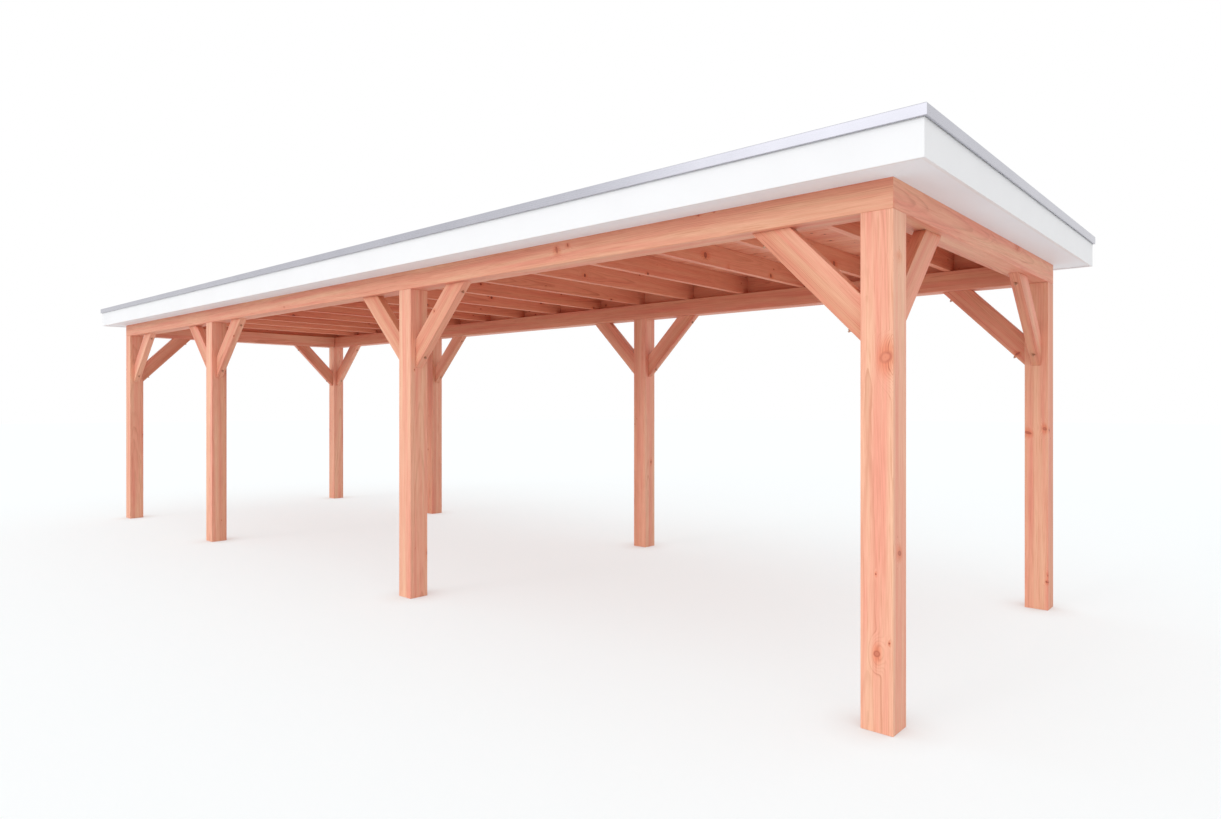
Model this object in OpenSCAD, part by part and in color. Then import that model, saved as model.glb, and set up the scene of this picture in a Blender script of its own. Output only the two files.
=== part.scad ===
// Veranda: an open timber frame with a flat, boarded roof.
// Eight square posts carry a ring beam with mitred corners. Joists, blocking and a boarded
// deck lie on the beam, and a white fascia, a soffit and an aluminium trim close the overhang.
// Origin: middle of the footprint, on the floor. +X is the right end, +Y the back, +Z up.

/* [Posts] */
// Side of the square posts, and width of the ring beam on them
post_size = 145; // [95:5:195]
// Height of the posts, up to the underside of the ring beam
post_height = 2225; // [2000:5:2700]

/* [Bays] */
// Left bay, from post centre to post centre
left_bay = 2420; // [1800:5:3600]
// Middle bay, from post centre to post centre
middle_bay = 3465; // [2400:5:4000]
// Right bay, from post centre to post centre
right_bay = 3500; // [2400:5:4000]
// Depth of the frame, over the outer faces of its front and back posts
frame_depth = 2820; // [2200:10:4000]

/* [Ring beam] */
// Height of the ring beam's section
beam_height = 145; // [95:5:245]

/* [Braces] */
// How far a brace reaches down the post and along the beam
brace_leg = 566; // [450:1:700]
// Width of a brace, square across its slope
brace_width = 145; // [95:5:175]
// Thickness of a brace
brace_thickness = 60; // [38:1:90]

/* [Joists] */
// Number of joists, the first and last one over the middle of the end beams
joist_count = 17; // [12:1:22]
// Thickness of a joist
joist_thickness = 45; // [35:1:70]
// Height of a joist
joist_height = 145; // [95:5:245]
// Thickness of the blocking between the joists
blocking_thickness = 45; // [20:1:60]
// How far the blocking stands back from the beam's outer face
blocking_setback = 25; // [5:1:30]

/* [Roof] */
// How far the roof reaches beyond the ring beam, on all four sides
overhang = 200; // [120:5:400]
// Thickness of the roof boards
deck_thickness = 18; // [15:1:28]
// Thickness of the roof membrane
membrane_thickness = 2; // [1:0.5:4]
// Thickness of the fascia boards
fascia_thickness = 18; // [12:1:28]
// How far the fascia hangs below the soffit
fascia_lip = 6; // [0:1:20]
// Thickness of the soffit panels
soffit_thickness = 14; // [9:1:24]

/* [Edge trim] */
// How far the trim's face stands in front of the fascia
trim_projection = 14; // [8:1:25]
// Height of the trim's face
trim_face = 50; // [36:1:80]
// Wall of the aluminium section
trim_wall = 2; // [1:0.5:3]
// Height of the trim above the membrane
trim_rise = 20; // [10:1:30]
// How far the trim's top reaches in from the fascia's outer face
trim_shelf = 20; // [10:1:30]
// Width of the flange that lies on the membrane
trim_flange = 40; // [25:1:60]

/* [Hidden] */
front = -1;
back = 1;
to_right = 0;
to_back = 90;
to_left = 180;
to_front = 270;

// Each brace: its node, the column and row of its post, and the way it leans out
braces = [
    ["brace_front_1_right", 1, front, to_right],
    ["brace_front_1_back", 1, front, to_back],
    ["brace_front_2_left", 2, front, to_left],
    ["brace_front_2_right", 2, front, to_right],
    ["brace_front_3_left", 3, front, to_left],
    ["brace_front_3_right", 3, front, to_right],
    ["brace_front_4_left", 4, front, to_left],
    ["brace_front_4_back", 4, front, to_back],
    ["brace_back_1_right", 1, back, to_right],
    ["brace_back_1_front", 1, back, to_front],
    ["brace_back_2_left", 2, back, to_left],
    ["brace_back_2_right", 2, back, to_right],
    ["brace_back_3_left", 3, back, to_left],
    ["brace_back_3_right", 3, back, to_right],
    ["brace_back_4_left", 4, back, to_left],
    ["brace_back_4_front", 4, back, to_front]
];

columns = [1:4];

timber = "#e2a283";
shaded_timber = "#b9694d";
white_paint = "#f2f1f1";
aluminium = "#b9bab9";
rubber = "#2b2c2d";

// Frame, over its outer faces
frame_length = left_bay + middle_bay + right_bay + post_size;
half_length = frame_length / 2;
half_depth = frame_depth / 2;

// Heights, from the floor up
beam_top = post_height + beam_height;
joist_top = beam_top + joist_height;
deck_top = joist_top + deck_thickness;
membrane_top = deck_top + membrane_thickness;
trim_top = membrane_top + trim_rise;

// The roof's edges, counted outwards from the ring beam's outer face
fascia_inside = overhang - fascia_thickness;
trim_outside = overhang + trim_projection;
trim_inside = overhang - trim_shelf;

// Post centres along the frame, and each joist's centre
first_post = post_size / 2 - half_length;
post_places = [
    first_post,
    first_post + left_bay,
    first_post + left_bay + middle_bay,
    first_post + left_bay + middle_bay + right_bay
];
joist_spacing = (frame_length - post_size) / (joist_count - 1);
function joist_place(i) = first_post + i * joist_spacing;

// What a cutter goes past the faces it cuts
overcut = 1;

// Box as long and deep as the frame, grown outwards on all four sides
module frame_block(grow, low, high)
    translate([-half_length - grow, -half_depth - grow, low])
        cube([frame_length + 2 * grow, frame_depth + 2 * grow, high - low]);

// Closed ring round the frame: its outer face, its width inwards, and its heights
module frame_ring(outside, width, low, high)
    difference() {
        frame_block(outside, low, high);
        frame_block(outside - width, low - overcut, high + overcut);
    }

// One side of a ring, cut at 45 degrees in the frame's corners
module front_side() {
    reach_x = half_length + trim_outside;
    reach_y = half_depth + trim_outside;
    intersection() {
        children();
        linear_extrude(trim_top + overcut)
            polygon([[-reach_x, -reach_y], [reach_x, -reach_y], [reach_x - reach_y, 0], [reach_y - reach_x, 0]]);
    }
}

module right_side() {
    reach_x = half_length + trim_outside;
    reach_y = half_depth + trim_outside;
    intersection() {
        children();
        linear_extrude(trim_top + overcut)
            polygon([[reach_x, -reach_y], [reach_x, reach_y], [reach_x - reach_y, 0]]);
    }
}

module back_side()
    mirror([0, 1, 0])
        front_side()
            children();

module left_side()
    mirror([1, 0, 0])
        right_side()
            children();

module post(column, row)
    color(timber)
        translate([post_places[column - 1] - post_size / 2, row * (half_depth - post_size / 2) - post_size / 2, 0])
            cube([post_size, post_size, post_height]);

// Knee brace at 45 degrees, cut square to the post's side and to the beam's underside
module brace(column, row, turn) {
    inner_leg = brace_leg - brace_width * sqrt(2);
    color(timber)
        translate([post_places[column - 1], row * (half_depth - post_size / 2), post_height])
            rotate([0, 0, turn])
                translate([post_size / 2, brace_thickness / 2, 0])
                    rotate([90, 0, 0])
                        linear_extrude(brace_thickness)
                            polygon([[brace_leg, 0], [inner_leg, 0], [0, -inner_leg], [0, -brace_leg]]);
}

module ring_beam()
    frame_ring(0, post_size, post_height, beam_top);

// Joists across the frame, from fascia to fascia
module joists()
    color(shaded_timber)
        for (i = [0 : joist_count - 1])
            translate([joist_place(i) - joist_thickness / 2, -half_depth - fascia_inside, beam_top])
                cube([joist_thickness, frame_depth + 2 * fascia_inside, joist_height]);

// Blocking between the joists, on the front beam
module blocking()
    color(shaded_timber)
        for (i = [0 : joist_count - 2])
            translate([joist_place(i) + joist_thickness / 2, -half_depth + blocking_setback, beam_top])
                cube([joist_spacing - joist_thickness, blocking_thickness, joist_height]);

module roof_deck()
    color(shaded_timber)
        frame_block(fascia_inside, joist_top, deck_top);

module roof_membrane()
    color(rubber)
        frame_block(overhang, deck_top, membrane_top);

module fascia()
    frame_ring(overhang, fascia_thickness, beam_top - soffit_thickness - fascia_lip, deck_top);

module soffit()
    frame_ring(fascia_inside, fascia_inside, beam_top - soffit_thickness, beam_top);

// Folded roof edge: a face in front of the fascia, a top, and a flange on the membrane
module trim() {
    frame_ring(trim_outside, trim_wall, trim_top - trim_face, trim_top);
    frame_ring(trim_outside, trim_projection + trim_shelf, trim_top - trim_wall, trim_top);
    frame_ring(trim_inside + trim_wall, trim_wall, membrane_top, trim_top);
    frame_ring(trim_inside + trim_wall, trim_flange, membrane_top, membrane_top + trim_wall);
}

for (column = columns) {
    post(column, front);
    post(column, back);
}
for (this = braces)
    brace(this[1], this[2], this[3]);

color(timber) front_side() ring_beam();  // beam_front
color(timber) back_side() ring_beam();  // beam_back
color(timber) left_side() ring_beam();  // beam_left
color(timber) right_side() ring_beam();  // beam_right

joists();
blocking();  // blocking_front
mirror([0, 1, 0]) blocking();  // blocking_back
roof_deck();
roof_membrane();

color(white_paint) front_side() fascia();  // fascia_front
color(white_paint) back_side() fascia();  // fascia_back
color(white_paint) left_side() fascia();  // fascia_left
color(white_paint) right_side() fascia();  // fascia_right

color(white_paint) front_side() soffit();  // soffit_front
color(white_paint) back_side() soffit();  // soffit_back
color(white_paint) left_side() soffit();  // soffit_left
color(white_paint) right_side() soffit();  // soffit_right

color(aluminium) front_side() trim();  // trim_front
color(aluminium) back_side() trim();  // trim_back
color(aluminium) left_side() trim();  // trim_left
color(aluminium) right_side() trim();  // trim_right
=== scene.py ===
import math
import random

import bmesh
import bpy
from mathutils import Matrix, Vector, noise


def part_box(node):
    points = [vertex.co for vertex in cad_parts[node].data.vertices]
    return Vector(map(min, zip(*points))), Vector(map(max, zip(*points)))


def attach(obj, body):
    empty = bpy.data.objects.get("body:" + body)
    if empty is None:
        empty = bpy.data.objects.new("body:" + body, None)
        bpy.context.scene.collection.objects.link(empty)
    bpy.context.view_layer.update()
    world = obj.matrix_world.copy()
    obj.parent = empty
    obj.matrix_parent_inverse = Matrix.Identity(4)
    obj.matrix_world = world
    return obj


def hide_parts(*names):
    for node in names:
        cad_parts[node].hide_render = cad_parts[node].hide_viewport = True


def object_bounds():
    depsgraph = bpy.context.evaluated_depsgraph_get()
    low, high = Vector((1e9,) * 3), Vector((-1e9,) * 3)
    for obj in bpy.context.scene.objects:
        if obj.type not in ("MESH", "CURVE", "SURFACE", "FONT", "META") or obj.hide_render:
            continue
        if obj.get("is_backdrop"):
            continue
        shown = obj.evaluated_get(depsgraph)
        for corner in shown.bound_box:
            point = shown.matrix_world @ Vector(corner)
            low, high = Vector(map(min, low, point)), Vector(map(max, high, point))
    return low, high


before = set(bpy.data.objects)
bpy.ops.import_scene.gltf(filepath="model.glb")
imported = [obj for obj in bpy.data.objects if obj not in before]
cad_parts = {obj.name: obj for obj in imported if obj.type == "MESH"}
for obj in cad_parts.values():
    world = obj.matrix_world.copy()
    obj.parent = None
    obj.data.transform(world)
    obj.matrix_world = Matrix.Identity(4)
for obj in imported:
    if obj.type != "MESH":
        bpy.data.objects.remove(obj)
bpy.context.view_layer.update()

mm = 0.001
up = Vector((0, 0, 1))
scene = bpy.context.scene


def colour(hexValue):
    # sRGB hex to the linear values that nodes take
    parts = [int(hexValue[i:i + 2], 16) / 255 for i in (1, 3, 5)]
    return [c / 12.92 if c <= 0.04045 else ((c + 0.055) / 1.055) ** 2.4 for c in parts] + [1.0]


def grey(level):
    return (level, level, level, 1.0)


def greys(stops):
    return [(place, grey(level)) for place, level in stops]


def addNode(tree, kind, links=None, stops=None, **settings):
    # links: input to value, socket or node (then its first output); stops: a ramp's colours
    node = tree.nodes.new("ShaderNode" + kind)
    for setting, value in settings.items():
        setattr(node, setting, value)
    for key, value in (links or {}).items():
        if isinstance(value, bpy.types.Node):
            value = next(o for o in value.outputs if o.enabled)
        if isinstance(value, bpy.types.NodeSocket):
            tree.links.new(value, node.inputs[key])
        else:
            node.inputs[key].default_value = value
    for i, (place, shade) in enumerate(stops or []):
        element = node.color_ramp.elements[i] if i < 2 else node.color_ramp.elements.new(place)
        element.position = place
        element.color = shade
    return node


def newMaterial(name):
    material = bpy.data.materials.new(name)
    material.use_nodes = True
    return material, material.node_tree, material.node_tree.nodes["Principled BSDF"]


def mapRange(tree, value, start, full, low=0.0, high=1.0, curve="LINEAR"):
    # low up to where value is start, high from where it is full
    return addNode(tree, "MapRange", {"Value": value, "From Min": start, "From Max": full,
                                      "To Min": low, "To Max": high}, interpolation_type=curve)


def grainNoise(tree, place, along, across, detail, **inputs):
    # noise that changes so often for each metre along the trunk and across it
    place = addNode(tree, "VectorMath", {0: place, 1: (along, across, across)}, operation="MULTIPLY")
    return addNode(tree, "TexNoise", {"Vector": place, "Scale": 1.0, "Detail": detail, **inputs})


# Douglas fir, planed smooth: pale salmon sapwood turning redder towards the heart, thin dark summer
# rings of uneven strength, short resin streaks, small red-brown knots that the rings swirl round,
# and a soft dry sheen. A colour in brackets is what the wood under it is multiplied by, changes are for
# each metre along the trunk and across it, and an edge says where something begins and where it is full
douglasFir = {
    "pink": "#f1a790", "peach": "#f5c5a6",      # spring wood, drifting from one to the other
    "driftChanges": (0.8, 24.0), "driftEdge": (0.34, 0.66),
    "heartwood": (0.87, 0.74, 0.69, 1.0), "heartEdge": (120 * mm, 30 * mm),
    "redStick": (0.93, 0.84, 0.80, 1.0),        # a stick that is red all through
    "bends": ((0.45, 3.0, 50 * mm), (2.2, 9.0, 13 * mm), (8.0, 40.0, 2.5 * mm)),  # changes, and how far
    "taper": 0.014,                             # what the trunk loses in radius for each metre
    "ring": 5.5 * mm,                           # one year's growth
    "ringUneven": 1.6, "ringChanges": 70.0,     # by how many rings, and changes for each metre of radius
    "season": ((0.0, 0.12), (0.3, 0.0), (0.55, 0.15), (0.85, 1.0), (0.95, 0.85)),  # dark in late summer
    "summerRing": (0.70, 0.50, 0.42, 1.0), "ringInSapwood": 0.75, "ringMoreInHeart": 0.35,
    "goodYearRare": 2.2, "ringFaint": 0.3, "ringStrong": 1.1,  # most years leave a faint ring
    "weakChanges": (2.6, 38.0), "weakEdge": (0.32, 0.62), "ringWeakest": 0.25,
    "streak": (0.84, 0.66, 0.58, 1.0),
    "streakWide": 5.5 * mm, "streakLong": 280 * mm, "streakEdge": (0.56, 0.82),
    "fibre": (0.88, 0.81, 0.77, 1.0),
    "fibreWide": 2.6 * mm, "fibreAlong": 7.0, "fibreEdge": (0.3, 0.7),  # really 0.3 mm, coarser to show
    "knotEvery": 520 * mm, "knotUneven": 0.8,   # from one whorl of branches to the next
    "whorlEdge": (0.0, 0.1),                    # knots end where two whorls meet
    "knotLifts": (0.0, 45 * mm, -50 * mm),      # heights of a whorl's three branches
    "knotMost": 0.11,                           # a branch's radius for each metre from the heart
    "knotLeast": 0.2 * mm, "branchTilt": 0.25,
    "knotEdge": (1.35, 0.75), "knotStain": (0.95, 0.70, 0.59, 1.0), "stainEdge": (2.4, 0.5),  # in radii
    "eyeFlat": 0.45, "eyeEdge": (4.0, 0.6), "eyeBend": 1.8,  # the long eye that the rings draw round it
    "knotHeart": "#e08c6e", "knotRim": "#a84f37", "paleEdge": (5 * mm, 18 * mm),  # big ones are pale inside
    "knotRings": ((0.0, 0.45), (0.2, 0.0), (0.55, 0.1), (1.0, 1.0)),  # how dark, from its middle out
    "roughness": (0.60, 0.45),                  # spring wood, summer rings
    "bump": {"Strength": 0.35, "Distance": 0.15 * mm}, "fibreBump": 0.3,
}


def bentTrunk(tree, grain, look):
    # the trunk was never quite straight, and its rings wander
    place = grain
    for along, across, sway in look["bends"]:
        slow = grainNoise(tree, grain, along, across, 1.0).outputs["Color"]
        slow = addNode(tree, "VectorMath", {0: slow, 1: (0.5, 0.5, 0.5)}, operation="SUBTRACT")
        slow = addNode(tree, "VectorMath", {0: slow, 1: (0.0, sway, sway)}, operation="MULTIPLY")
        place = addNode(tree, "VectorMath", {0: place, 1: slow}, operation="ADD")
    return place


def branchWhorls(tree, place, look):
    # three branches grow out of the heart at about one height; returns what they do to the wood
    along, across, through = addNode(tree, "SeparateXYZ", {0: place}).outputs
    step = addNode(tree, "Math", {0: along, 1: look["knotEvery"]}, operation="DIVIDE")
    cells = {"W": step, "Scale": 1.0, "Randomness": look["knotUneven"]}
    whorl = addNode(tree, "TexVoronoi", cells, voronoi_dimensions="1D", feature="F1")
    chance = addNode(tree, "SeparateColor", {0: whorl.outputs["Color"]})
    fromWhorl = addNode(tree, "Math", {0: step, 1: whorl.outputs["W"]}, operation="SUBTRACT")
    fromWhorl = addNode(tree, "Math", {0: fromWhorl, 1: look["knotEvery"]}, operation="MULTIPLY")
    alone = addNode(tree, "TexVoronoi", cells, voronoi_dimensions="1D", feature="DISTANCE_TO_EDGE")
    alone = mapRange(tree, alone, *look["whorlEdge"], curve="SMOOTHSTEP")

    knot, bend, stain, rings, pale = 0.0, 0.0, 0.0, 0.0, 0.0
    for branch, lift in enumerate(look["knotLifts"]):
        # where a point lies beside the branch, and how far out along it
        angle = addNode(tree, "Math", {0: chance.outputs[branch], 1: 2 * math.pi}, operation="MULTIPLY")
        cosine = addNode(tree, "Math", {0: angle}, operation="COSINE")
        sine = addNode(tree, "Math", {0: angle}, operation="SINE")
        reach = addNode(tree, "Math", {0: across, 1: cosine}, operation="MULTIPLY")
        reach = addNode(tree, "Math", {0: through, 1: sine, 2: reach}, operation="MULTIPLY_ADD")
        beside = addNode(tree, "Math", {0: across, 1: sine}, operation="MULTIPLY")
        away = addNode(tree, "Math", {0: through, 1: cosine}, operation="MULTIPLY")
        beside = addNode(tree, "Math", {0: away, 1: beside}, operation="SUBTRACT")
        rise = addNode(tree, "Math", {0: reach, 1: -look["branchTilt"], 2: fromWhorl},
                       operation="MULTIPLY_ADD")
        rise = addNode(tree, "Math", {0: rise, 1: lift}, operation="SUBTRACT")

        # its radius there, none on the trunk's far side, and thin where two whorls meet
        thick = mapRange(tree, chance.outputs[(branch + 1) % 3], 0.0, 1.0, 0.0, look["knotMost"])
        thick = addNode(tree, "Math", {0: thick, 1: reach}, operation="MULTIPLY")
        thick = addNode(tree, "Math", {0: thick, 1: alone}, operation="MULTIPLY")
        thick = addNode(tree, "Math", {0: thick, 1: look["knotLeast"]}, operation="MAXIMUM")

        # the knot itself
        offAxis = addNode(tree, "CombineXYZ", {0: rise, 1: beside})
        offAxis = addNode(tree, "VectorMath", {0: offAxis}, operation="LENGTH")
        depth = addNode(tree, "Math", {0: offAxis, 1: thick}, operation="DIVIDE")
        inside = mapRange(tree, depth, *look["knotEdge"], curve="SMOOTHSTEP")
        knot = addNode(tree, "Math", {0: knot, 1: inside}, operation="MAXIMUM")
        rings = addNode(tree, "Math", {0: depth, 1: inside, 2: rings}, operation="MULTIPLY_ADD")
        big = mapRange(tree, thick, *look["paleEdge"])
        pale = addNode(tree, "Math", {0: big, 1: inside, 2: pale}, operation="MULTIPLY_ADD")

        # the rings part round it in a long eye shape, inside a reddish stain
        squeezed = addNode(tree, "Math", {0: rise, 1: look["eyeFlat"]}, operation="MULTIPLY")
        squeezed = addNode(tree, "CombineXYZ", {0: squeezed, 1: beside})
        squeezed = addNode(tree, "VectorMath", {0: squeezed}, operation="LENGTH")
        squeezed = addNode(tree, "Math", {0: squeezed, 1: thick}, operation="DIVIDE")
        halo = mapRange(tree, squeezed, *look["stainEdge"], curve="SMOOTHSTEP")
        halo = addNode(tree, "Math", {0: halo, 1: alone}, operation="MULTIPLY")
        stain = addNode(tree, "Math", {0: stain, 1: halo}, operation="MAXIMUM")
        eye = mapRange(tree, squeezed, *look["eyeEdge"], curve="SMOOTHERSTEP")
        eye = addNode(tree, "Math", {0: eye, 1: thick}, operation="MULTIPLY")
        eye = addNode(tree, "Math", {0: eye, 1: alone}, operation="MULTIPLY")
        bend = addNode(tree, "Math", {0: eye, 1: look["eyeBend"], 2: bend}, operation="MULTIPLY_ADD")
    return {"knot": knot, "bend": bend, "stain": stain, "rings": rings, "pale": pale}


def yearRings(tree, place, radius, bend, weak, look):
    # rings of uneven width, cut at a slant by the trunk's taper; returns how dark each point is
    along = addNode(tree, "SeparateXYZ", {0: place}).outputs[0]
    years = addNode(tree, "Math", {0: along, 1: look["taper"], 2: radius}, operation="MULTIPLY_ADD")
    uneven = addNode(tree, "Math", {0: years, 1: look["ringChanges"]}, operation="MULTIPLY")
    uneven = addNode(tree, "TexNoise", {"W": uneven, "Scale": 1.0, "Detail": 1.0}, noise_dimensions="1D")
    years = addNode(tree, "Math", {0: uneven, 1: look["ringUneven"] * look["ring"], 2: years},
                    operation="MULTIPLY_ADD")
    years = addNode(tree, "Math", {0: years, 1: bend}, operation="ADD")
    years = addNode(tree, "Math", {0: years, 1: look["ring"]}, operation="DIVIDE")
    season = addNode(tree, "Math", {0: years}, operation="FRACT")
    summer = addNode(tree, "ValToRGB", {0: season}, stops=greys(look["season"]))

    # every few years a dark ring stands out, and no ring is as dark all the way along
    year = addNode(tree, "Math", {0: years}, operation="FLOOR")
    goodYear = addNode(tree, "TexWhiteNoise", {"W": year}, noise_dimensions="1D").outputs["Value"]
    goodYear = addNode(tree, "Math", {0: goodYear, 1: look["goodYearRare"]}, operation="POWER")
    goodYear = mapRange(tree, goodYear, 0.0, 1.0, look["ringFaint"], look["ringStrong"])
    summer = addNode(tree, "Math", {0: summer, 1: goodYear}, operation="MULTIPLY")
    return addNode(tree, "Math", {0: summer, 1: weak}, operation="MULTIPLY")


def firMaterial(name, look):
    material, tree, shader = newMaterial(name)
    grain = addNode(tree, "Attribute", attribute_name="grain").outputs["Vector"]
    tone = addNode(tree, "Attribute", attribute_name="tone").outputs["Fac"]
    place = bentTrunk(tree, grain, look)
    radius = addNode(tree, "VectorMath", {0: place, 1: (0, 1, 1)}, operation="MULTIPLY")
    radius = addNode(tree, "VectorMath", {0: radius}, operation="LENGTH")
    branches = branchWhorls(tree, place, look)
    stain = branches["stain"]
    weak = grainNoise(tree, grain, *look["weakChanges"], 2.0)
    weak = mapRange(tree, weak, *look["weakEdge"], look["ringWeakest"])
    summer = yearRings(tree, place, radius, branches["bend"], weak, look)

    # fibres, and short dark resin streaks along them
    fibre = grainNoise(tree, place, look["fibreAlong"], 1 / look["fibreWide"], 2.0, Roughness=0.6)
    fibre = mapRange(tree, fibre, *look["fibreEdge"])
    streak = grainNoise(tree, place, 1 / look["streakLong"], 1 / look["streakWide"], 2.0)
    streak = mapRange(tree, streak, *look["streakEdge"])

    # spring wood drifting from pink to peach, redder round the heart, where dark rings show most
    drift = mapRange(tree, grainNoise(tree, place, *look["driftChanges"], 3.0), *look["driftEdge"])
    wood = addNode(tree, "Mix", {"Factor": drift, 6: colour(look["pink"]), 7: colour(look["peach"])},
                   data_type="RGBA")
    old = mapRange(tree, radius, *look["heartEdge"])
    strong = addNode(tree, "Math", {0: old, 1: look["ringMoreInHeart"], 2: look["ringInSapwood"]},
                     operation="MULTIPLY_ADD")
    strong = addNode(tree, "Math", {0: strong, 1: stain}, operation="ADD")
    summer = addNode(tree, "Math", {0: summer, 1: strong}, operation="MULTIPLY", use_clamp=True)
    for much, shade in ((old, "heartwood"), (tone, "redStick"), (summer, "summerRing"), (fibre, "fibre"),
                        (streak, "streak"), (stain, "knotStain")):
        wood = addNode(tree, "Mix", {"Factor": much, 6: wood, 7: look[shade]}, data_type="RGBA",
                       blend_type="MULTIPLY")

    # knots: red-brown, the big ones ringed like a small trunk and darkest on one side of the rim
    ringed = addNode(tree, "ValToRGB", {0: branches["rings"]}, stops=greys(look["knotRings"]))
    ringed = addNode(tree, "Math", {0: ringed, 1: weak}, operation="MULTIPLY")
    rim = colour(look["knotRim"])
    knot = addNode(tree, "Mix", {"Factor": ringed, 6: colour(look["knotHeart"]), 7: rim}, data_type="RGBA")
    knot = addNode(tree, "Mix", {"Factor": branches["pale"], 6: rim, 7: knot}, data_type="RGBA")
    wood = addNode(tree, "Mix", {"Factor": branches["knot"], 6: wood, 7: knot}, data_type="RGBA")
    tree.links.new(wood.outputs[2], shader.inputs["Base Color"])

    sheen = mapRange(tree, summer, 0.0, 1.0, *look["roughness"])
    tree.links.new(sheen.outputs[0], shader.inputs["Roughness"])
    height = addNode(tree, "Math", {0: fibre, 1: look["fibreBump"], 2: summer}, operation="MULTIPLY_ADD")
    bump = addNode(tree, "Bump", {"Height": height, **look["bump"]})
    tree.links.new(bump.outputs[0], shader.inputs["Normal"])
    return material


planedFir = firMaterial("planed_douglas_fir", douglasFir)
# the roof's wood is drawn redder and darker than the posts', with more knots and darker ones
roofFir = firMaterial("planed_douglas_fir_roof", {
    **douglasFir, "pink": "#ec9b7f", "peach": "#f3b392", "knotEvery": 360 * mm, "knotMost": 0.155,
    "knotHeart": "#b05d43", "knotRim": "#6e2e1d"})


def finishSurface(tree, shader, look, patch, sheen, height=None):
    # a colour that drifts with the patches, a gloss that drifts with the sheen, and a fine relief
    face = addNode(tree, "Mix", {"Factor": patch, 6: colour(look["colour"]), 7: colour(look["patched"])},
                   data_type="RGBA")
    tree.links.new(face.outputs[2], shader.inputs["Base Color"])
    gloss = mapRange(tree, sheen, 0.0, 1.0, *look["roughness"])
    tree.links.new(gloss.outputs[0], shader.inputs["Roughness"])
    if height is not None:
        bump = addNode(tree, "Bump", {"Height": height, **look["bump"]})
        tree.links.new(bump.outputs[0], shader.inputs["Normal"])


# White factory-coated board: an even, faintly cool white with a dull satin face and a very fine
# orange peel
coatedBoard = {
    "colour": "#edeef0", "patched": "#e6e7e9", "patch": 350 * mm, "roughness": (0.53, 0.65),
    "peel": 1.2 * mm, "bump": {"Strength": 0.15, "Distance": 0.05 * mm},
}


def boardMaterial(name, look):
    material, tree, shader = newMaterial(name)
    place = addNode(tree, "TexCoord").outputs["Object"]
    patch = addNode(tree, "TexNoise", {"Vector": place, "Scale": 1 / look["patch"], "Detail": 3.0})
    peel = addNode(tree, "TexNoise", {"Vector": place, "Scale": 1 / look["peel"], "Detail": 1.0})
    finishSurface(tree, shader, look, patch, patch, peel)
    return material


whiteBoard = boardMaterial("white_coated_board", coatedBoard)
# the soffit is the same white board, painted brighter and cooler to offset the shade and warm bounce it
# gets under the overhang
soffitBoardPaintedLight = boardMaterial("white_coated_board_painted_light", {
    **coatedBoard, "colour": "#f0f5fa", "patched": "#eaeff4"})


# Mill aluminium, extruded: pale grey, faint die lines along its length, soft reflections
millAluminium = {
    "colour": "#c3c3cb", "patched": "#b3b3bc", "cloudChanges": 3.5, "roughness": (0.20, 0.34),
    "dieLine": 1.6 * mm, "lineChanges": 0.3, "bump": {"Strength": 0.2, "Distance": 0.04 * mm},
}


def aluminiumMaterial():
    look = millAluminium
    material, tree, shader = newMaterial("mill_aluminium")
    shader.inputs["Metallic"].default_value = 1.0
    place = addNode(tree, "TexCoord").outputs["Object"]
    # the lines run along X on the long sides and along Y on the ends, so both are slowed down there
    slow, fine = look["lineChanges"], 1 / look["dieLine"]
    lines = addNode(tree, "VectorMath", {0: place, 1: (slow, slow, fine)}, operation="MULTIPLY")
    lines = addNode(tree, "TexNoise", {"Vector": lines, "Scale": 1.0, "Detail": 2.0})
    cloud = addNode(tree, "TexNoise", {"Vector": place, "Scale": look["cloudChanges"], "Detail": 3.0})
    finishSurface(tree, shader, look, cloud, lines, lines)
    return material


aluminium = aluminiumMaterial()


# EPDM rubber sheet: matt blue-black, dusty in patches, a fine talc bloom
epdmSheet = {
    "colour": "#2a2b2d", "patched": "#3a3a3a", "patch": 600 * mm, "dustEdge": (0.35, 0.75),
    "roughness": (0.77, 0.85), "texture": 3.0 * mm, "bump": {"Strength": 0.3, "Distance": 0.1 * mm},
}


def rubberMaterial():
    look = epdmSheet
    material, tree, shader = newMaterial("epdm_rubber")
    place = addNode(tree, "TexCoord").outputs["Object"]
    dust = addNode(tree, "TexNoise", {"Vector": place, "Scale": 1 / look["patch"], "Detail": 5.0,
                                      "Roughness": 0.6})
    dust = mapRange(tree, dust, *look["dustEdge"])
    texture = addNode(tree, "TexNoise", {"Vector": place, "Scale": 1 / look["texture"], "Detail": 2.0})
    finishSurface(tree, shader, look, dust, dust, texture)
    return material


rubber = rubberMaterial()


# Yellow-passivated zinc on steel, dulled: brownish grey, a little mottled
zincSteel = {"colour": "#cfa991", "patched": "#b0866f", "mottle": 4.0 * mm, "roughness": (0.30, 0.48)}


def zincMaterial():
    look = zincSteel
    material, tree, shader = newMaterial("zinc_plated_steel")
    shader.inputs["Metallic"].default_value = 1.0
    place = addNode(tree, "TexCoord").outputs["Object"]
    mottle = addNode(tree, "TexNoise", {"Vector": place, "Scale": 1 / look["mottle"], "Detail": 2.0})
    finishSurface(tree, shader, look, mottle, mottle)
    return material


zinc = zincMaterial()
print("materials made")


def newMesh():
    # an empty mesh whose points carry each timber's own grain
    mesh = bmesh.new()
    mesh.verts.layers.float_vector.new("grain")
    mesh.verts.layers.float.new("tone")
    return mesh


def pour(solid, piece):
    # one finished solid goes into its piece
    carrier = bpy.data.meshes.new("carrier")
    solid.to_mesh(carrier)
    solid.free()
    piece.from_mesh(carrier)
    bpy.data.meshes.remove(carrier)


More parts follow.
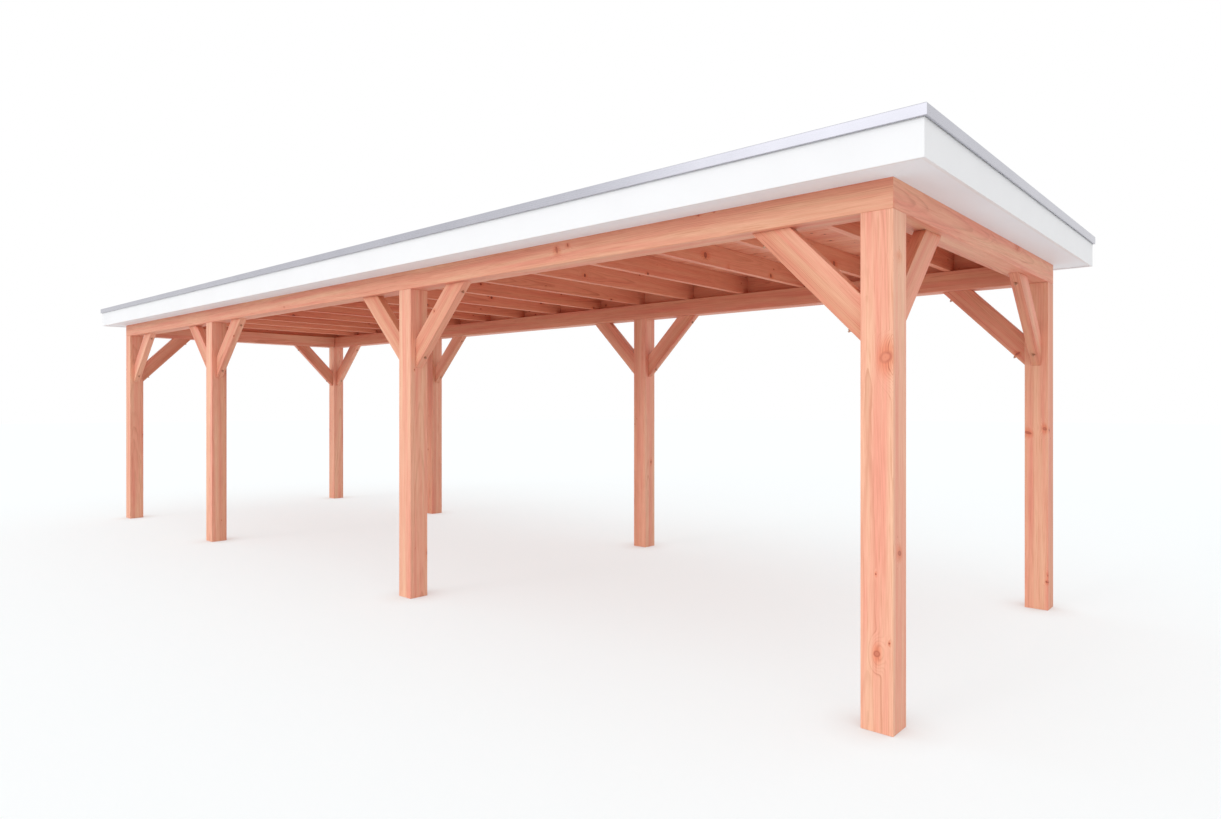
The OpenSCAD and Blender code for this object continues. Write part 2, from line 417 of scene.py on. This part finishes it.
def addPiece(name, mesh, material, nodes=()):
    data = bpy.data.meshes.new(name)
    mesh.to_mesh(data)
    mesh.free()
    data.materials.append(material)
    piece = bpy.data.objects.new(name, data)
    scene.collection.objects.link(piece)
    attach(piece, "root")
    if nodes:
        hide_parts(*nodes)


tiny = 1e-6  # metres, less than any real gap


def cutOff(solid, point, normal):
    # saws off what lies beyond a plane and closes the end
    everything = solid.verts[:] + solid.edges[:] + solid.faces[:]
    cut = bmesh.ops.bisect_plane(solid, geom=everything, dist=tiny, plane_co=point, plane_no=normal,
                                 clear_outer=True)["geom_cut"]
    bmesh.ops.edgeloop_fill(solid, edges=[e for e in cut if isinstance(e, bmesh.types.BMEdge)])


def easeEdges(solid, edges, offset, segments):
    bmesh.ops.bevel(solid, geom=edges, offset=offset, offset_type="OFFSET", segments=segments,
                    profile=0.5, material=-1, affect="EDGES", clamp_overlap=True)


def unique(things):
    # without repeats and in their own order, where a set's order would change from run to run
    return list(dict.fromkeys(things))


def moveDrawn(solid, geometry, way):
    # what an extrusion has drawn out goes this way
    points = [g for g in geometry if isinstance(g, bmesh.types.BMVert)]
    bmesh.ops.translate(solid, vec=way, verts=points)


# Every timber is cut from a place of its own in one long trunk
trunk = {
    "length": 60.0,             # metres to draw that place from
    "heartReach": (0.5, 0.95),  # from the section's middle to the heart, in mean sides of the section
    "redness": (0.2, 1.0),
}


def giveGrain(solid, toTimber, heart, along, tone):
    # heart says where the tree's heart lay, seen from the middle of the section
    start = Vector((along, -heart[0], -heart[1]))
    grainLayer = solid.verts.layers.float_vector["grain"]
    toneLayer = solid.verts.layers.float["tone"]
    for v in solid.verts:
        v[grainLayer] = toTimber @ v.co + start
        v[toneLayer] = tone


def sawn(size, place, ease, dice, cuts=(), heart=None, redness=None, shift=0.0, endEase=2 * mm):
    # one length of timber: local X runs along the grain, place puts it in the frame, and shift says how
    # far along its stick the wood's pattern lies
    solid = newMesh()
    bmesh.ops.create_cube(solid, size=1.0, matrix=Matrix.Diagonal((*size, 1.0)))
    longEdges = [e for e in solid.edges if abs((e.verts[1].co - e.verts[0].co).normalized().x) > 0.9]
    easeEdges(solid, longEdges, ease, 3)
    bmesh.ops.transform(solid, matrix=place, verts=solid.verts)
    for point, normal in cuts:
        cutOff(solid, point, normal)
    solid.normal_update()
    axis = place.to_3x3() @ Vector((1, 0, 0))
    ends = [f for f in solid.faces if abs(f.normal.dot(axis)) > 0.5]  # cut square or at 45 degrees
    easeEdges(solid, unique(e for f in ends for e in f.edges), endEase, 1)

    if heart is None:
        turn = dice.uniform(0, 2 * math.pi)
        reach = dice.uniform(*trunk["heartReach"]) * (size[1] + size[2]) / 2
        heart = (math.cos(turn) * reach, math.sin(turn) * reach)
    along = dice.uniform(0, trunk["length"]) - shift
    tone = dice.uniform(*trunk["redness"]) if redness is None else redness
    giveGrain(solid, place.inverted(), heart, along, tone)
    return solid


# Posts: square, planed, standing on their sawn ends. From left to right: which stick of the pile each
# one is, how red it is, how far its knots are moved up, and where its heart lies
posts = {
    "ease": 4 * mm,
    "front": ((13, {"redness": 0.4}), (15, {"redness": 0.0}), (59, {"redness": 0.1}),
              (57, {"redness": 0.1, "shift": 1.535, "heart": (120 * mm, 50 * mm)})),
    "back": ((3, {"redness": 0.1}), (17, {"redness": 0.4}), (7, {"redness": 0.1, "shift": -0.6}),
             (6, {"redness": 0.5, "shift": 0.42})),
}
alongZ = Matrix.Rotation(-math.pi / 2, 4, "Y")  # local X up

for row in ("front", "back"):
    for column, (stick, wood) in enumerate(posts[row], 1):
        node = f"post_{row}_{column}"
        low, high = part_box(node)
        size = high - low
        place = Matrix.Translation((low + high) / 2) @ alongZ
        piece = newMesh()
        dice = random.Random(stick)
        pour(sawn((size.z, size.y, size.x), place, posts["ease"], dice, **wood), piece)
        addPiece(f"{node}_timber", piece, planedFir, [node])
print("posts made")


# The four sides of every ring round the frame: local X along, local -Y outwards
sides = ("front", "right", "back", "left")
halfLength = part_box("beam_front")[1].x
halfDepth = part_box("beam_right")[1].y


def sideTurn(side):
    return Matrix.Rotation(sides.index(side) * math.pi / 2, 4, "Z")


def sideReach(side):
    # from the frame's middle to the beam's end and to its outer face
    return (halfLength, halfDepth) if side in ("front", "back") else (halfDepth, halfLength)


def sideMitres(side):
    # the planes of the two 45 degree cuts, in local places
    half, out = sideReach(side)
    return [(Vector((half, -out, 0)), Vector((1, 1, 0)).normalized()),
            (Vector((-half, -out, 0)), Vector((-1, 1, 0)).normalized())]


def sideLength(node, side, ease, dice, **wood):
    # one mitred side, as big as its CAD node
    turn = sideTurn(side)
    corners = [turn.inverted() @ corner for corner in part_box(node)]
    low, high = (Vector(map(pick, *corners)) for pick in (min, max))
    cuts = [(turn @ point, turn.to_3x3() @ normal) for point, normal in sideMitres(side)]
    return sawn(high - low, turn @ Matrix.Translation((low + high) / 2), ease, dice, cuts, **wood)


# Ring beam on the posts: which stick each side is, and what is special about its wood
ringBeam = {
    "ease": 4 * mm,
    "front": (2, {"heart": (-35 * mm, 85 * mm), "shift": -0.55}),  # reddest along its top: its heart lies there, partly as painted shade under the soffit
    "right": (31, {"redness": 1.0}), "back": (32, {}), "left": (33, {}),
}

for side in sides:
    node = f"beam_{side}"
    piece = newMesh()
    stick, wood = ringBeam[side]
    pour(sideLength(node, side, ringBeam["ease"], random.Random(stick), **wood), piece)
    addPiece(f"{node}_timber", piece, planedFir, [node])
print("ring beam made")


# Knee braces, cut at 45 degrees against post and beam, each held by two bolts whose ends show below
braces = {
    "width": 145 * mm, "ease": 3 * mm,
    "blank": 1.6,  # length before the ends are cut off, in legs
    "boltFromBeam": 85 * mm, "boltFromPost": 105 * mm,
    "sticks": {"brace_front_4_left": 29, "brace_front_3_left": 20},  # picked out for their plain grain
}
# Washer, hexagonal nut (measured over its flats) and the end of the bolt
braceBolt = {
    "washer": 20 * mm, "washerThick": 2 * mm, "washerSides": 20, "flats": 15 * mm, "nut": 8 * mm,
    "thread": 9 * mm, "end": 7 * mm, "threadSides": 12, "ease": 0.6 * mm,
}
leans = {
    "right": Vector((1, 0, 0)), "back": Vector((0, 1, 0)),
    "left": Vector((-1, 0, 0)), "front": Vector((0, -1, 0)),
}


def boltEnd(place):
    # washer, nut and the end of the bolt, standing up local Z from the wood
    look = braceBolt
    solid = newMesh()
    height = 0.0
    for corners, radius, thick in ((look["washerSides"], look["washer"] / 2, look["washerThick"]),
                                   (6, look["flats"] / math.sqrt(3), look["nut"]),
                                   (look["threadSides"], look["thread"] / 2, look["end"])):
        middle = Matrix.Translation((0, 0, height + thick / 2))
        bmesh.ops.create_cone(solid, cap_ends=True, segments=corners, radius1=radius, radius2=radius,
                              depth=thick, matrix=middle)
        height += thick
    rims = [e for e in solid.edges if e.verts[0].co.z > look["washerThick"] / 2
            and abs(e.verts[0].co.z - e.verts[1].co.z) < tiny]
    easeEdges(solid, rims, look["ease"], 1)
    bmesh.ops.transform(solid, matrix=place, verts=solid.verts)
    return solid


boltEnds = newMesh()
for node in sorted(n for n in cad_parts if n.startswith("brace_")):
    _, row, column, lean = node.split("_")
    low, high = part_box(node)
    postLow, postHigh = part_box(f"post_{row}_{column}")
    out = leans[lean]
    leg = high.z - low.z
    foot = (postLow + postHigh) / 2 + out * (postHigh.x - postLow.x) / 2  # on the post's side
    foot.z = high.z
    rise = (leg - braces["width"] / math.sqrt(2)) / 2
    alongBrace, outOfPlane = (out + up).normalized(), out.cross(up)
    across = (up - out).normalized()
    place = Matrix((alongBrace, across, outOfPlane)).transposed().to_4x4()
    place.translation = foot + (out - up) * rise
    thick = (high - low).dot(Vector(map(abs, outOfPlane)))
    size = (leg * braces["blank"], braces["width"], thick)
    piece = newMesh()
    dice = random.Random(braces["sticks"].get(node, node))
    pour(sawn(size, place, braces["ease"], dice, [(foot, -out), (foot, up)]), piece)
    addPiece(f"{node}_timber", piece, planedFir, [node])
    reach = leg / math.sqrt(2)
    for spot in (reach - braces["boltFromBeam"], braces["boltFromPost"] - reach):
        under = Matrix.Translation((spot, -braces["width"] / 2, 0)) @ Matrix.Rotation(math.pi / 2, 4, "X")
        pour(boltEnd(place @ under), boltEnds)
addPiece("brace_bolt_ends", boltEnds, zinc)
print("braces made")


# Joists across the frame and the blocking between them
joists = {
    "count": 17, "thick": 45 * mm, "ease": 3 * mm, "blockEase": 2 * mm,
    "heartBeside": (50 * mm, 90 * mm), "heartAbove": 35 * mm,  # sawn beside the heart, so knots show round
}
alongY = Matrix.Rotation(math.pi / 2, 4, "Z")

low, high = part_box("joists")
size = (high.y - low.y, joists["thick"], high.z - low.z)
spacing = (high.x - low.x - joists["thick"]) / (joists["count"] - 1)
joistPlaces = [low.x + joists["thick"] / 2 + i * spacing for i in range(joists["count"])]
piece = newMesh()
for i, x in enumerate(joistPlaces):
    middle = (low + high) / 2
    middle.x = x
    dice = random.Random(f"joist {i}")
    beside = dice.choice((-1, 1)) * dice.uniform(*joists["heartBeside"])
    heart = (beside, dice.uniform(-1, 1) * joists["heartAbove"])
    pour(sawn(size, Matrix.Translation(middle) @ alongY, joists["ease"], dice, heart=heart), piece)
addPiece("joists_timber", piece, roofFir, ["joists"])

for row in ("front", "back"):
    node = f"blocking_{row}"
    low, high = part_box(node)
    piece = newMesh()
    for i, (left, right) in enumerate(zip(joistPlaces, joistPlaces[1:])):
        middle = (low + high) / 2
        middle.x = (left + right) / 2
        size = (right - left - joists["thick"], high.y - low.y, high.z - low.z)
        dice = random.Random(f"{node} {i}")
        pour(sawn(size, Matrix.Translation(middle), joists["blockEase"], dice), piece)
    addPiece(f"{node}_timber", piece, roofFir, [node])
print("joists made")


# Tongued and grooved roof boards, V-jointed below, their ends meeting over joists
roofBoards = {
    "courses": 22, "vJoint": 5 * mm, "tongue": 6 * mm, "slack": 0.5 * mm, "endGap": 0.3 * mm,
    "shrunk": 1.5 * mm,                                 # dried boards leave a dark line between them
    "shortest": 4, "longest": 7,                        # lengths of a board, in spaces between joists
    "heartBeside": (-30, 30), "heartAbove": (45, 110),  # from the board's middle to the heart, in mm
}


def profileEdge(solid, way, half, depth):
    # draws a tongue out of one long edge, or pushes a groove into it, a little above its middle
    middle = roofBoards["vJoint"] / 2
    for edgeHeight in (middle - half, middle + half):
        solid.normal_update()
        side = [f for f in solid.faces if f.normal.y * way > 0.99]
        geometry = unique(g for f in side for g in [*f.verts, *f.edges, f])
        bmesh.ops.bisect_plane(solid, geom=geometry, dist=tiny, plane_co=(0, 0, edgeHeight),
                               plane_no=(0, 0, 1))
    solid.normal_update()
    strip = [f for f in solid.faces if f.normal.y * way > 0.99
             and abs(f.calc_center_median().z - middle) < half / 2]
    drawn = bmesh.ops.extrude_face_region(solid, geom=strip)["geom"]
    bmesh.ops.delete(solid, geom=strip, context="FACES")
    moveDrawn(solid, drawn, (0, way * depth, 0))


def roofBoard(left, right, low, high, tongued, grooved, dice):
    look = roofBoards
    size = Vector((right - left, high.y - low.y, high.z - low.z))
    middle = Vector(((left + right) / 2, (low.y + high.y) / 2, (low.z + high.z) / 2))
    solid = newMesh()
    bmesh.ops.create_cube(solid, size=1.0, matrix=Matrix.Diagonal((*size, 1.0)))
    under = [e for e in solid.edges if all(v.co.z < 0 for v in e.verts)
             and abs(e.verts[0].co.x - e.verts[1].co.x) > tiny]
    easeEdges(solid, under, look["vJoint"], 1)
    if tongued:
        profileEdge(solid, 1, look["tongue"] / 2 - look["slack"] / 2, look["tongue"])
    if grooved:
        profileEdge(solid, -1, look["tongue"] / 2, -look["tongue"])
    bmesh.ops.recalc_face_normals(solid, faces=solid.faces)
    beside = dice.uniform(*look["heartBeside"]) * mm
    above = dice.choice((-1, 1)) * dice.uniform(*look["heartAbove"]) * mm
    along = dice.uniform(0, trunk["length"])
    giveGrain(solid, Matrix.Identity(4), (beside, above), along, dice.random())
    bmesh.ops.translate(solid, vec=middle, verts=solid.verts)
    return solid


low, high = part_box("roof_deck")
cover = (high.y - low.y) / roofBoards["courses"]
gap = roofBoards["endGap"]
piece = newMesh()
for course in range(roofBoards["courses"]):
    dice = random.Random(f"course {course}")
    first, last = course == 0, course == roofBoards["courses"] - 1
    front, back = low.copy(), high.copy()
    front.y = low.y + course * cover
    back.y = front.y + cover
    if not last:
        back.y -= roofBoards["shrunk"]
    at, breaks = dice.randint(1, roofBoards["longest"] - 1), [low.x]
    while at < joists["count"] - 2:
        breaks.append(joistPlaces[at])
        at += dice.randint(roofBoards["shortest"], roofBoards["longest"])
    breaks.append(high.x)
    for left, right in zip(breaks, breaks[1:]):
        pour(roofBoard(left + gap, right - gap, front, back, not last, not first, dice), piece)
addPiece("roof_boards", piece, roofFir, ["roof_deck"])
print("roof boards made")


# White fascia and soffit, mitred at the corners
edgeBoards = {"fasciaEase": 1.5 * mm, "soffitEase": 1 * mm}

for kind, ease, board in (("fascia", edgeBoards["fasciaEase"], whiteBoard),
                          ("soffit", edgeBoards["soffitEase"], soffitBoardPaintedLight)):
    for side in sides:
        node = f"{kind}_{side}"
        piece = newMesh()
        pour(sideLength(node, side, ease, random.Random(node)), piece)
        addPiece(f"{node}_board", piece, board, [node])
print("fascia and soffit made")


# Folded roof edge, with rounded folds and a drip edge turned in below its face
edgeTrim = {
    "wall": 2 * mm, "fold": 3 * mm, "folds": 4, "face": 50 * mm, "projection": 14 * mm,
    "shelf": 20 * mm, "flange": 40 * mm, "drip": 9 * mm,
    "spare": 100 * mm,  # what is drawn past each corner, for the mitre to cut off
}

overhang = -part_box("fascia_front")[0].y - halfDepth
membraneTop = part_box("roof_membrane")[1].z


def trimSide(node, side):
    look = edgeTrim
    turn = sideTurn(side)
    half, out = sideReach(side)
    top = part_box(node)[1].z
    face, inner = out + overhang + look["projection"], out + overhang - look["shelf"]
    foot, flangeTop = top - look["face"], membraneTop + look["wall"]
    skin = [(face - look["drip"], foot), (face, foot), (face, top), (inner, top), (inner, flangeTop),
            (inner + look["wall"] - look["flange"], flangeTop)]  # outwards from the frame's middle, up
    solid = newMesh()
    reach = half + overhang + look["spare"]
    points = [solid.verts.new((-reach, -y, z)) for y, z in skin]
    line = [solid.edges.new(pair) for pair in zip(points, points[1:])]
    moveDrawn(solid, bmesh.ops.extrude_edge_only(solid, edges=line)["geom"], (2 * reach, 0, 0))
    folds = [e for e in solid.edges if len(e.link_faces) == 2]
    easeEdges(solid, folds, look["fold"], look["folds"])
    bmesh.ops.recalc_face_normals(solid, faces=solid.faces)
    outermost = min(solid.faces, key=lambda f: f.calc_center_median().y)
    if outermost.normal.y > 0:  # an open sheet may come out inside out
        bmesh.ops.reverse_faces(solid, faces=solid.faces)
    bmesh.ops.solidify(solid, geom=solid.faces[:], thickness=look["wall"])
    for point, normal in sideMitres(side):
        cutOff(solid, point, normal)
    bmesh.ops.recalc_face_normals(solid, faces=solid.faces)
    bmesh.ops.transform(solid, matrix=turn, verts=solid.verts)
    return solid


for side in sides:
    node = f"trim_{side}"
    piece = newMesh()
    pour(trimSide(node, side), piece)
    addPiece(f"{node}_profile", piece, aluminium, [node])
print("edge trim made")


# Rubber membrane, flat under the trim and lying in low waves further in
membrane = {
    "cell": 80 * mm, "wave": 2.5 * mm, "length": 550 * mm, "stretch": 0.7,
    "cut": 3.1,                         # which slice of the noise the waves come from
    "flat": 60 * mm, "fade": 120 * mm,  # from the edge inwards
    "lowest": 0.2 * mm,                 # how far even the flat parts stay inside the CAD sheet
}

low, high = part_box("roof_membrane")
size = high - low
cellsAlong, cellsAcross = (round(length / membrane["cell"]) for length in size.xy)
piece = newMesh()
bmesh.ops.create_grid(piece, x_segments=cellsAlong, y_segments=cellsAcross, size=0.5,
                      matrix=Matrix.Diagonal((size.x, size.y, 1, 1)))
for v in piece.verts:
    inside = min(size.x / 2 - abs(v.co.x), size.y / 2 - abs(v.co.y))
    fade = min(max((inside - membrane["flat"]) / membrane["fade"], 0), 1)
    spot = Vector((v.co.x, v.co.y * membrane["stretch"], membrane["cut"]))
    swell = noise.noise(spot / membrane["length"])
    v.co.z = high.z - membrane["lowest"] + fade * membrane["wave"] * max(swell, 0)
bmesh.ops.solidify(piece, geom=piece.faces[:], thickness=high.z - low.z - 2 * membrane["lowest"])
bmesh.ops.recalc_face_normals(piece, faces=piece.faces)
addPiece("roof_membrane_sheet", piece, rubber, ["roof_membrane"])
print("membrane made")


# Plain white studio floor; the eye sees most of it as bare white and the rest with the soft shadow
studioFloor = {
    "colour": "#f2f2f2", "seen": "#f6fdff", "roughness": 0.9, "reach": 60.0, "corners": 96,
    "bareWhite": 0.54,                      # how much of what the eye sees takes no shadow
    "near": 220 * mm, "corner": "#c9a79d",  # the small contact shadow at the feet
}

look = studioFloor
floorMesh = bmesh.new()
bmesh.ops.create_circle(floorMesh, cap_ends=True, segments=look["corners"], radius=look["reach"])
floorData = bpy.data.meshes.new("studio_floor")
floorMesh.to_mesh(floorData)
floorMesh.free()
floor = bpy.data.objects.new("studio_floor", floorData)
scene.collection.objects.link(floor)
floor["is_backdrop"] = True
material, tree, shader = newMaterial("studio_white")
shader.inputs["Roughness"].default_value = look["roughness"]
shader.inputs["Specular IOR Level"].default_value = 0.0
onCamera = addNode(tree, "LightPath").outputs["Is Camera Ray"]
seen = addNode(tree, "Mix", {"Factor": onCamera, 6: colour(look["colour"]), 7: colour(look["seen"])},
               data_type="RGBA")
tree.links.new(seen.outputs[2], shader.inputs["Base Color"])
bare = addNode(tree, "Math", {0: onCamera, 1: look["bareWhite"]}, operation="MULTIPLY")
nearby = addNode(tree, "AmbientOcclusion", {"Distance": look["near"]}, samples=8).outputs["AO"]
shaded = addNode(tree, "Mix", {"Factor": nearby, 6: colour(look["corner"]), 7: grey(1.0)}, data_type="RGBA")
white = addNode(tree, "Emission", {"Color": shaded.outputs[2], "Strength": 1.0})
mixed = addNode(tree, "MixShader", {0: bare, 1: shader.outputs[0], 2: white.outputs[0]})
tree.links.new(mixed.outputs[0], tree.nodes["Material Output"].inputs["Surface"])
floorData.materials.append(material)

# Even white dome, two low lamps from the front, of which only the softbox shows in metal, and a
# broad lamp overhead
studioLight = {
    "dome": 0.91,
    "key": {"power": 0.38, "height": 13, "side": -13, "spread": 16, "highlight": False},
    "softbox": {"power": 0.34, "height": 17, "side": -17, "spread": 40, "highlight": True},
    "overhead": {"power": 0.32, "height": 52, "side": 25, "spread": 60, "highlight": False},
}

# what is seen of the dome, straight or in metal, is plain white, and what it lights gets its own level
world = bpy.data.worlds.new("studio")
scene.world = world
world.use_nodes = True
tree = world.node_tree
background = tree.nodes["Background"]
rays = addNode(tree, "LightPath").outputs
seen = addNode(tree, "Math", {0: rays["Is Camera Ray"], 1: rays["Is Glossy Ray"]}, operation="MAXIMUM")
seen = addNode(tree, "Math", {0: seen, 1: rays["Is Transmission Ray"]}, operation="MAXIMUM")
level = mapRange(tree, seen, 0.0, 1.0, studioLight["dome"], 1.0)
background.inputs["Color"].default_value = (1, 1, 1, 1)
tree.links.new(level.outputs[0], background.inputs["Strength"])

for name in ("key", "softbox", "overhead"):
    look = studioLight[name]
    light = bpy.data.lights.new(name, "SUN")
    light.energy = look["power"]
    light.angle = math.radians(look["spread"])
    lamp = bpy.data.objects.new(name, light)
    lamp.rotation_euler = (math.radians(90 - look["height"]), 0, math.radians(look["side"]))
    lamp.visible_glossy = look["highlight"]
    scene.collection.objects.link(lamp)

# Standing eye off the front right corner
eye = {"place": (6.049, -4.654, 1.404), "turn": 41.5, "lens": 23.03, "sensor": 36, "drop": -0.0052,
       "farthest": 200}

lens = bpy.data.cameras.new("camera")
lens.lens = eye["lens"]
lens.sensor_width = eye["sensor"]
lens.shift_y = eye["drop"]
lens.clip_end = eye["farthest"]
camera = bpy.data.objects.new("camera", lens)
camera.location = eye["place"]
camera.rotation_euler = (math.radians(90), 0, math.radians(eye["turn"]))
scene.collection.objects.link(camera)
scene.camera = camera
scene.view_settings.view_transform = "Standard"
print("stage made")

low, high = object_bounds()
